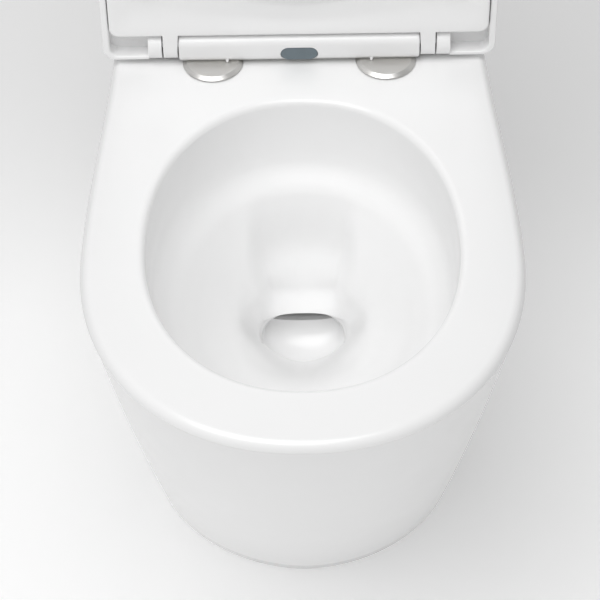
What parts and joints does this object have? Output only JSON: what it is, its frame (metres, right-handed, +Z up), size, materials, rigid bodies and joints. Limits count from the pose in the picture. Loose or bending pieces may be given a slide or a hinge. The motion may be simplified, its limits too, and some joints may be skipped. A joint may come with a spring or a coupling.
{
  "type": "close coupled toilet",
  "caption": "Close coupled toilet with a fully shrouded rimless pan, dual-flush cistern and quick-release soft-close seat and lid.",
  "frame": {"origin": "on the floor under the centre of the object's box at rest", "axes": "+Z up, -Y towards the user at the front, +X to the right seen from the front; the YZ plane is the plane of symmetry"},
  "size_m": [0.3684, 0.665, 0.8779],
  "materials": {
    "china": "glazed",
    "seat_plastic": "gloss",
    "inner_plastic": "satin",
    "buffer_rubber": "matte",
    "black_rubber": "matte",
    "chrome": "brushed",
    "steel": "plated",
    "brass": "satin",
    "grey_plastic": "satin",
    "blue_plastic": "satin"
  },
  "bodies": {
    "root": {"pan": "china", "cistern_tank": "china", "coupling_gasket": "black_rubber", "cistern_bolts": "brass", "cistern_bolt_washers": "black_rubber", "cistern_bolt_plates": "steel", "cistern_wing_nuts": "brass", "flush_valve_body": "inner_plastic", "flush_valve_washer": "black_rubber", "flush_valve_nut": "inner_plastic", "lever_pins": "steel", "fill_valve_body": "inner_plastic", "fill_valve_washer": "black_rubber", "fill_valve_nut": "inner_plastic", "float_arm_pin": "steel", "hinge_gaskets": "black_rubber", "hinge_discs": "chrome", "hinge_posts": "steel", "hinge_studs": "steel", "hinge_washers": "black_rubber", "hinge_nuts": "inner_plastic", "floor_brackets": "steel", "side_screws": "steel", "side_caps": "seat_plastic"},
    "cistern_lid": {"cistern_lid": "china", "button_bezel": "chrome", "bezel_nut": "inner_plastic"},
    "full_button": {"flush_button_full": "chrome", "full_flush_rod": "blue_plastic", "full_button_spring": "steel"},
    "half_button": {"flush_button_half": "chrome", "half_flush_rod": "blue_plastic", "half_button_spring": "steel"},
    "full_lever": {"full_flush_lever": "blue_plastic"},
    "half_lever": {"half_flush_lever": "blue_plastic"},
    "valve_tube": {"flush_tube": "inner_plastic", "flush_seal": "black_rubber"},
    "float": {"float_cup": "inner_plastic", "float_link": "steel"},
    "float_arm": {"float_arm": "blue_plastic"},
    "hinge_bar": {"hinge_bar_shell": "seat_plastic", "hinge_bar_base": "inner_plastic", "seat_damper": "inner_plastic", "lid_damper": "inner_plastic"},
    "release_button": {"release_button": "grey_plastic", "release_spring": "steel"},
    "latch_left": {"latch_left": "steel"},
    "latch_right": {"latch_right": "steel"},
    "lid": {"seat_lid": "seat_plastic", "lid_buffers": "buffer_rubber", "lid_hinge_shaft": "steel"},
    "seat": {"seat_ring": "seat_plastic", "seat_buffers": "buffer_rubber", "seat_hinge_shaft": "steel"}
  },
  "joints": [
    {"name": "cistern_lid_lift", "type": "slide", "parent": "root", "child": "cistern_lid", "axis": [0, 0, 1], "range_m": [0, 0.12]},
    {"name": "full_flush_press", "type": "slide", "parent": "cistern_lid", "child": "full_button", "axis": [0, 0, -1], "range_m": [0, 0.006], "stiffness_N_per_m": 600, "springref_m": -0.003},
    {"name": "half_flush_press", "type": "slide", "parent": "cistern_lid", "child": "half_button", "axis": [0, 0, -1], "range_m": [0, 0.006], "stiffness_N_per_m": 600, "springref_m": -0.003},
    {"name": "full_lever_rock", "type": "hinge", "parent": "root", "child": "full_lever", "pos_m": [0.028, 0.262, 0.684], "axis": [0, -1, 0], "range_deg": [0, 20.8]},
    {"name": "half_lever_rock", "type": "hinge", "parent": "root", "child": "half_lever", "pos_m": [-0.028, 0.262, 0.684], "axis": [0, 1, 0], "range_deg": [0, 20.8]},
    {"name": "valve_tube_lift", "type": "slide", "parent": "root", "child": "valve_tube", "axis": [0, 0, 1], "range_m": [0, 0.0062]},
    {"name": "float_rise", "type": "slide", "parent": "root", "child": "float", "axis": [0, 0, 1], "range_m": [0, 0.012]},
    {"name": "float_arm_turn", "type": "hinge", "parent": "root", "child": "float_arm", "pos_m": [-0.113, 0.262, 0.672], "axis": [0, 1, 0], "range_deg": [0, 19.6]},
    {"name": "seat_lift_off", "type": "slide", "parent": "root", "child": "hinge_bar", "axis": [0, 0, 1], "range_m": [0, 0.06]},
    {"name": "release_press", "type": "slide", "parent": "hinge_bar", "child": "release_button", "axis": [0, 1, 0], "range_m": [0, 0.003], "stiffness_N_per_m": 800, "springref_m": -0.002},
    {"name": "latch_left_slide", "type": "slide", "parent": "hinge_bar", "child": "latch_left", "axis": [-1, 0, 0], "range_m": [0, 0.003]},
    {"name": "latch_right_slide", "type": "slide", "parent": "hinge_bar", "child": "latch_right", "axis": [1, 0, 0], "range_m": [0, 0.003]},
    {"name": "lid_hinge", "type": "hinge", "parent": "hinge_bar", "child": "lid", "pos_m": [0, 0.1225, 0.4175], "axis": [1, 0, 0], "range_deg": [0, 94]},
    {"name": "seat_hinge", "type": "hinge", "parent": "lid", "child": "seat", "pos_m": [0, 0.1225, 0.4175], "axis": [-1, 0, 0], "range_deg": [-94, 0]}
  ],
  "couplings": [
    {"joint": "full_lever_rock", "follows": "full_flush_press", "rad_per_m": 60.15},
    {"joint": "half_lever_rock", "follows": "half_flush_press", "rad_per_m": 60.15},
    {"joint": "valve_tube_lift", "follows": "full_flush_press", "ratio": 1},
    {"joint": "float_arm_turn", "follows": "float_rise", "rad_per_m": 28.3},
    {"joint": "latch_left_slide", "follows": "release_press", "ratio": 1},
    {"joint": "latch_right_slide", "follows": "release_press", "ratio": 1}
  ]
}
